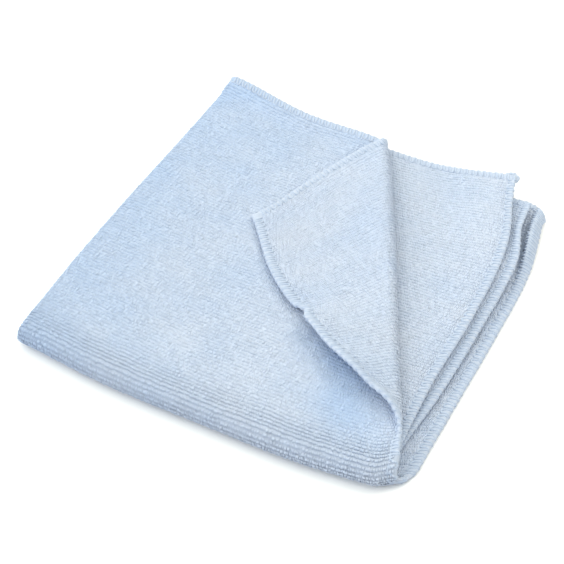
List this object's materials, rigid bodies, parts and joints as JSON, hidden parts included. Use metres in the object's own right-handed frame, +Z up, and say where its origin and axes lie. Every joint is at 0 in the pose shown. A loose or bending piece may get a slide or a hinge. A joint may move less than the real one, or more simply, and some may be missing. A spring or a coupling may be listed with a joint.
{
  "type": "folded microfibre cloth",
  "caption": "Square terry cleaning cloth folded into quarters, with the corner of its top layer turned back.",
  "frame": {"origin": "on the resting surface, under the middle of the folded cloth's outline", "axes": "+Z up through the layers; +Y from the folded front side to the back raw edges; +X from the folded left side to the right raw edges"},
  "size_m": [0.155, 0.1675, 0.0174],
  "materials": {
    "fabric": "very pale blue looped pile, with no shine"
  },
  "bodies": {
    "root": {"cloth": "fabric"}
  },
  "joints": []
}
